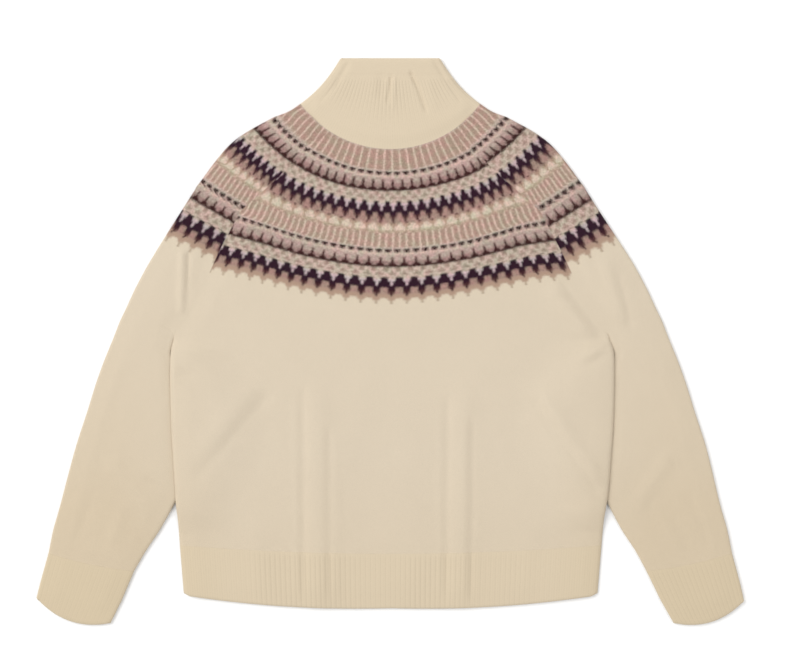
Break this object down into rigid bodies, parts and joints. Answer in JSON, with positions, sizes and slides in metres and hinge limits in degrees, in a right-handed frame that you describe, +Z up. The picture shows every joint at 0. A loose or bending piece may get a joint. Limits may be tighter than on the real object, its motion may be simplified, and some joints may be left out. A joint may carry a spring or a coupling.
{
  "type": "fair isle jumper",
  "caption": "Fair isle yoke jumper laid flat, with raglan sleeves tucked behind the body, a ribbed funnel neck, ribbed hem and ribbed cuffs.",
  "frame": {"origin": "on the surface that the jumper lies on, under the middle of its outline", "axes": "+Z up from that surface, +Y from the hem to the neck, +X to the right as the front is seen"},
  "size_m": [0.8852, 0.7087, 0.0133],
  "materials": {
    "fair_isle_knit": "matt stocking stitch in cream wool, with a stranded pattern round the yoke in dusty pink, mauve, charcoal and dark plum",
    "rib_knit": "matt ribbed knitting in cream wool"
  },
  "bodies": {
    "root": {"front": "fair_isle_knit", "back": "fair_isle_knit", "sleeve_left": "fair_isle_knit", "sleeve_right": "fair_isle_knit", "neck": "rib_knit", "hem_rib_front": "rib_knit", "hem_rib_back": "rib_knit", "cuff_left": "rib_knit", "cuff_right": "rib_knit"}
  },
  "joints": []
}
